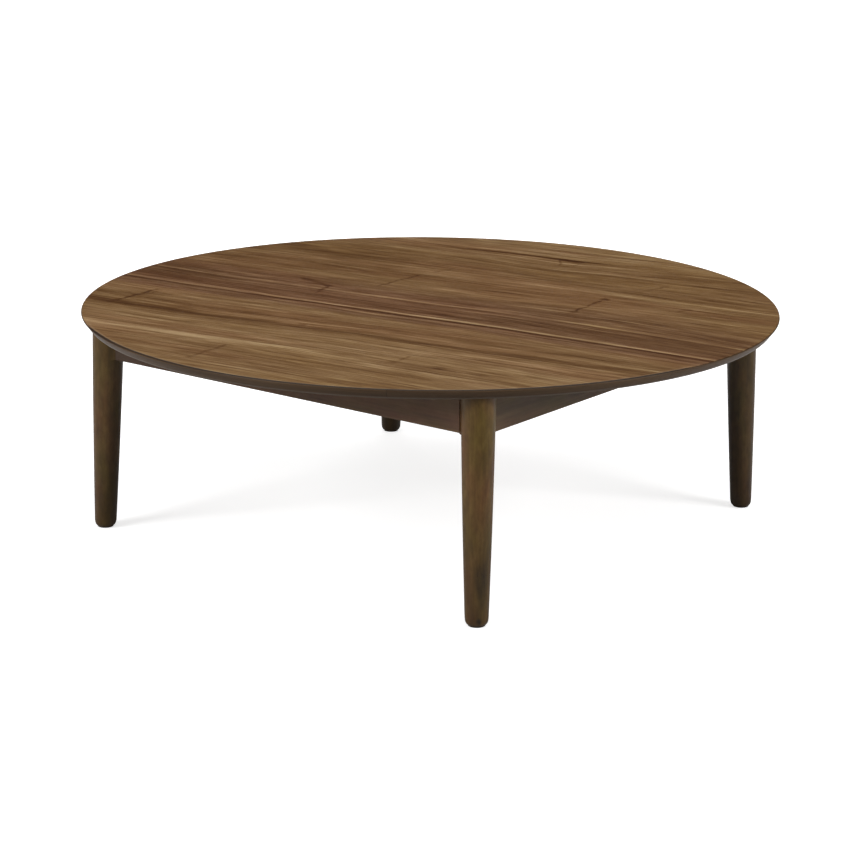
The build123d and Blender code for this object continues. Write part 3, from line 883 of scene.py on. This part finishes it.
def screw_mesh(length):
    """A countersunk screw, head down at z 0 and shank up, with a cross recess in the head."""
    bm = bmesh.new()
    head = [bm.verts.new(point) for point in circle(SCREW_HEAD_RADIUS, 0.0, SCREW_COUNT)]
    arm = (
        (RECESS_ARM, -RECESS_HALF_WIDTH, 0),
        (RECESS_ARM, RECESS_HALF_WIDTH, 0),
        (RECESS_INNER_CORNER, RECESS_INNER_CORNER, 0),
    )
    quarters = [Matrix.Rotation(math.pi / 2 * quarter, 4, "Z") for quarter in range(4)]
    cross = [bm.verts.new(quarter @ Vector(point)) for quarter in quarters for point in arm]
    edges = []
    for ring in (head, cross):
        edges += [bm.edges.new(pair) for pair in zip(ring, ring[1:] + ring[:1])]
    bmesh.ops.triangle_fill(bm, use_beauty=True, use_dissolve=False, edges=edges)
    inside = [face for face in bm.faces if all(vertex in cross for vertex in face.verts)]
    bmesh.ops.delete(bm, geom=inside, context="FACES_ONLY")
    bottom = bm.verts.new((0, 0, RECESS_DEPTH))
    for vertex, after in zip(cross, cross[1:] + cross[:1]):
        bm.faces.new((vertex, after, bottom))
    below = head
    for radius, z in (
        (SCREW_RADIUS, SCREW_HEAD_HEIGHT),
        (SCREW_RADIUS, length - SCREW_POINT_LENGTH),
        (SCREW_POINT_RADIUS, length),
    ):
        ring = [bm.verts.new(point) for point in circle(radius, z, SCREW_COUNT)]
        for step in range(SCREW_COUNT):
            after = (step + 1) % SCREW_COUNT
            bm.faces.new((below[step], below[after], ring[after], ring[step]))
        below = ring
    bm.faces.new(below)
    bmesh.ops.recalc_face_normals(bm, faces=bm.faces)
    bm.verts.index_update()
    vertices = [Vector(vertex.co) for vertex in bm.verts]
    faces = [tuple(vertex.index for vertex in face.verts) for face in bm.faces]
    bm.free()
    return vertices, faces


def make_screws(name, node, places, head_z, degrees, material):
    """One piece with a screw at each (x, y) place, turned about the middle of the table."""
    turn = Matrix.Rotation(math.radians(degrees), 4, "Z")
    screw, sides = screw_mesh(SCREW_TOP_Z - head_z)
    vertices, faces = [], []
    for index, (x, y) in enumerate(places):
        own = Matrix.Rotation(FIRST_SCREW_TURN + NEXT_SCREW_TURN * index + degrees, 4, "Z")
        start = len(vertices)
        vertices += [tuple(turn @ (Vector((x, y, head_z)) + own @ point)) for point in screw]
        faces += [tuple(start + corner for corner in side) for side in sides]
    piece = add_piece(name, vertices, faces, material, "table_top", SHARP_SCREW)
    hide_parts(node)


# ---------------------------------------------------------------- dressing the CAD nodes

# Worn edges: width of the bevel in metres, and the angle in degrees from which an edge gets one
BLOCK_WEAR = 0.0005
BRACKET_WEAR = 0.0004
BOLT_WEAR = 0.0003
WEAR_FROM_ANGLE = 40
WEAR_SEGMENTS = 2

# A dark, a mean and a light colour of each wood, from 0 to 255
APRON_X_COLOURS = ((78, 54, 38), (124, 93, 68), (154, 122, 94))
APRON_Y_COLOURS = ((72, 54, 38), (116, 92, 65), (146, 120, 90))
BACKING_COLOURS = ((92, 66, 42), (122, 92, 62), (150, 118, 84))
BLOCK_COLOURS = ((140, 104, 66), (176, 138, 94), (198, 164, 120))
LEG_COLOURS = ((54, 35, 13), (98, 72, 35), (132, 103, 57))

# Each leg has its own part of the figure and a tone that scales its colours: the front right leg's paler
# tone is painted light, the rear left leg's darker tone under the table is painted shade, and the rear
# right leg is a darker wood.
LEG_TONES_AND_PAINTED_LIGHT = {"rear_right": 0.84, "rear_left": 0.76, "front_left": 0.98, "front_right": 1.10}
LEG_GRAIN = {"rear_right": 2.3, "rear_left": 5.4, "front_left": 8.5, "front_right": 15.2}
LEG_SPOTS = {"front_right": [(70, 3, 42, 15, 0.40), (10, 1, 7, 6, 0.40), (245, 4, 26, 7, 0.12)]}


def dress(name, material, wear=0.0):
    """Gives a CAD node its material, and worn edges of this width."""
    thing = nodes[name]
    if wear:
        wear_and_sheen = thing.modifiers.new("worn_edges", "BEVEL")
        wear_and_sheen.limit_method = "ANGLE"
        wear_and_sheen.angle_limit = math.radians(WEAR_FROM_ANGLE)
        wear_and_sheen.width = wear
        wear_and_sheen.segments = WEAR_SEGMENTS
    if thing.material_slots:
        for slot in thing.material_slots:
            slot.material = material
    else:
        thing.data.materials.append(material)


def leg_wood(corner, degrees):
    # The tones paint light on the front right leg and shade on the rear left leg.
    colours = [tuple(value * LEG_TONES_AND_PAINTED_LIGHT[corner] for value in colour) for colour in LEG_COLOURS]
    return plain_wood(
        f"{corner}_leg_wood", colours, "Z", turn=math.radians(degrees), tilt=LEG_SPLAY,
        streak=0.32, mottle=0.36, speckle=0.34, hue=1.0, waves=90.0, shift=LEG_GRAIN[corner],
        rough=0.38, specular=0.36, outer_painted_light=0.10, end=(0.0, 0.22, 0.66), spots=LEG_SPOTS.get(corner, ()),
    )


def dress_frame(steel):
    """The core, the backing, the aprons and their blocks, and the screws through the blocks."""
    # The front and rear aprons get darker towards their -X ends, to 0.30 of their colour: painted shade.
    apron_x = plain_wood("apron_grain_x", APRON_X_COLOURS, "X", shift=1.7, end=(-0.36, -0.05, 0.30))
    apron_y = plain_wood("apron_grain_y", APRON_Y_COLOURS, "Y", shift=4.1, specular=0.3)
    backing = plain_wood(
        "backing_veneer", BACKING_COLOURS, "X",
        mottle=0.12, speckle=0.16, waves=70.0, rough=0.6, specular=0.25,
    )
    block_x = plain_wood("block_wood_x", BLOCK_COLOURS, "X", rough=0.7, specular=0.2)
    block_y = plain_wood("block_wood_y", BLOCK_COLOURS, "Y", rough=0.7, specular=0.2)
    dress("top_core", plywood())
    dress("backing_veneer", backing)
    places = [(BLOCK_ROW_RADIUS, BLOCK_PITCH * step) for step in (-1, 0, 1)]
    for side, degrees in SIDES.items():
        along_x = side in ("front", "rear")
        dress(f"{side}_apron", apron_x if along_x else apron_y)
        dress(f"{side}_apron_blocks", block_x if along_x else block_y, BLOCK_WEAR)
        name, node = f"{side}_cross_screws", f"{side}_block_screws"
        make_screws(name, node, places, BLOCK_BOTTOM_Z, degrees, steel)


def dress_corners(steel):
    """The four legs with their brackets, bolts, nuts, washers, bumpers and pads."""
    bracket, black, white, soft = powder_coat(), rubber(), nylon(), felt()
    places = [
        (PLATE_CENTRE_RADIUS + SCREW_PITCH_ALONG / 2 * along, SCREW_PITCH_ACROSS / 2 * across)
        for along in (-1, 1) for across in (-1, 1)
    ]
    for corner, degrees in CORNERS.items():
        make_leg(corner, degrees, leg_wood(corner, degrees))
        dress(f"{corner}_hinge_bracket", bracket, BRACKET_WEAR)
        name, node = f"{corner}_cross_screws", f"{corner}_bracket_screws"
        make_screws(name, node, places, PLATE_BOTTOM_Z, degrees, steel)
        dress(f"{corner}_leg_bumper", black)
        dress(f"{corner}_pivot_bolt", steel, BOLT_WEAR)
        dress(f"{corner}_pivot_nut", steel, BOLT_WEAR)
        dress(f"{corner}_pivot_washers", white)
        dress(f"{corner}_foot_pad", soft)


# ---------------------------------------------------------------- floor, world and lights

FLOOR_HALF = 14.0
FLOOR_Z = -0.0005
# Grey of the floor for diffuse rays, and for camera, transmission and glossy rays
FLOOR_BOUNCE = (0.24, 0.24, 0.24, 1.0)
FLOOR_PALE = (0.9, 0.9, 0.9, 1.0)
# Light that the floor gives to camera and transmission rays alone, up to FLOOR_NEAR metres from the
# middle and from FLOOR_FAR metres on, where it is white like the photo's ground
FLOOR_GLOW_NEAR = 0.70
FLOOR_GLOW_FAR = 1.0
FLOOR_NEAR = 1.2
FLOOR_FAR = 3.0
# Strength of the white world for diffuse and for glossy rays. It is 1 for camera and transmission rays.
WORLD_GREY = 0.12
WORLD_GLOSS = 0.04


def make_floor():
    mesh = bpy.data.meshes.new("floor")
    corners = [(FLOOR_HALF * x, FLOOR_HALF * y, FLOOR_Z) for x, y in ((-1, -1), (1, -1), (1, 1), (-1, 1))]
    mesh.from_pydata(corners, [], [(0, 1, 2, 3)])
    floor = bpy.data.objects.new("floor", mesh)
    bpy.context.scene.collection.objects.link(floor)
    g = Graph("floor")
    path = g.node("ShaderNodeLightPath")
    seen = g.math("MAXIMUM", path.outputs["Is Camera Ray"], path.outputs["Is Transmission Ray"])
    pale = g.math("MAXIMUM", seen, path.outputs["Is Glossy Ray"])
    matt = g.node("ShaderNodeBsdfDiffuse")
    g.put(matt.inputs["Color"], g.mix(pale, FLOOR_BOUNCE, FLOOR_PALE))
    glow = g.node("ShaderNodeEmission")
    glow.inputs["Color"].default_value = (1, 1, 1, 1)
    x, y, _ = g.split(g.place())
    away = g.vector_math("LENGTH", g.join(x, y, 0.0))
    strength = g.span(away, FLOOR_NEAR, FLOOR_FAR, FLOOR_GLOW_NEAR, FLOOR_GLOW_FAR, smooth=True)
    g.put(glow.inputs["Strength"], g.times(seen, strength))
    blend = g.node("ShaderNodeAddShader")
    g.put(blend.inputs[0], matt.outputs[0])
    g.put(blend.inputs[1], glow.outputs[0])
    out = g.node("ShaderNodeOutputMaterial")
    g.put(out.inputs["Surface"], blend.outputs[0])
    mesh.materials.append(g.material)


def make_world():
    world = bpy.data.worlds.new("world")
    bpy.context.scene.world = world
    world.use_nodes = True
    tree = world.node_tree
    background = tree.nodes["Background"]
    background.inputs["Color"].default_value = (1, 1, 1, 1)
    path = tree.nodes.new("ShaderNodeLightPath")
    seen = tree.nodes.new("ShaderNodeMath")
    seen.operation = "MAXIMUM"
    tree.links.new(path.outputs["Is Camera Ray"], seen.inputs[0])
    tree.links.new(path.outputs["Is Transmission Ray"], seen.inputs[1])
    studio = tree.nodes.new("ShaderNodeMapRange")
    studio.inputs["To Min"].default_value = WORLD_GREY
    studio.inputs["To Max"].default_value = WORLD_GLOSS
    tree.links.new(path.outputs["Is Glossy Ray"], studio.inputs["Value"])
    strength = tree.nodes.new("ShaderNodeMapRange")
    strength.inputs["To Max"].default_value = 1.0
    tree.links.new(studio.outputs[0], strength.inputs["To Min"])
    tree.links.new(seen.outputs[0], strength.inputs["Value"])
    tree.links.new(strength.outputs[0], background.inputs["Strength"])


# Area lights: (name, metres to the camera's right and towards it, height, width and length of the lamp,
# watts, whether glossy rays see it). The weak fill from behind isn't seen by them.
LIGHTS = [
    ("overhead", 0.0, 0.0, 2.6, 2.6, 2.6, 43.0, True),
    ("left_softbox", -3.26, 1.88, 2.0, 1.6, 1.6, 77.0, True),
    ("right_softbox", 3.46, 1.47, 2.0, 1.6, 1.6, 66.0, True),
    ("rear_fill", 0.0, -3.6, 0.75, 3.0, 0.8, 30.0, False),
]
LIGHT_AIM = Vector((0, 0, 0.2))


def make_lights():
    right, _, back = camera_axes()
    right = Vector((right.x, right.y, 0)).normalized()
    toward = Vector((back.x, back.y, 0)).normalized()
    for name, to_right, to_camera, height, width, length, power, glossy in LIGHTS:
        data = bpy.data.lights.new(name, "AREA")
        data.shape = "RECTANGLE"
        data.size = width
        data.size_y = length
        data.energy = power
        light = bpy.data.objects.new(name, data)
        light.location = right * to_right + toward * to_camera + Vector((0, 0, height))
        light.rotation_euler = (LIGHT_AIM - light.location).to_track_quat("-Z", "Y").to_euler()
        light.visible_glossy = glossy
        bpy.context.scene.collection.objects.link(light)


# ---------------------------------------------------------------- build

make_camera()
bpy.context.scene.view_settings.view_transform = "Standard"
make_top()
zinc_steel = zinc()
dress_frame(zinc_steel)
dress_corners(zinc_steel)
make_floor()
make_world()
make_lights()
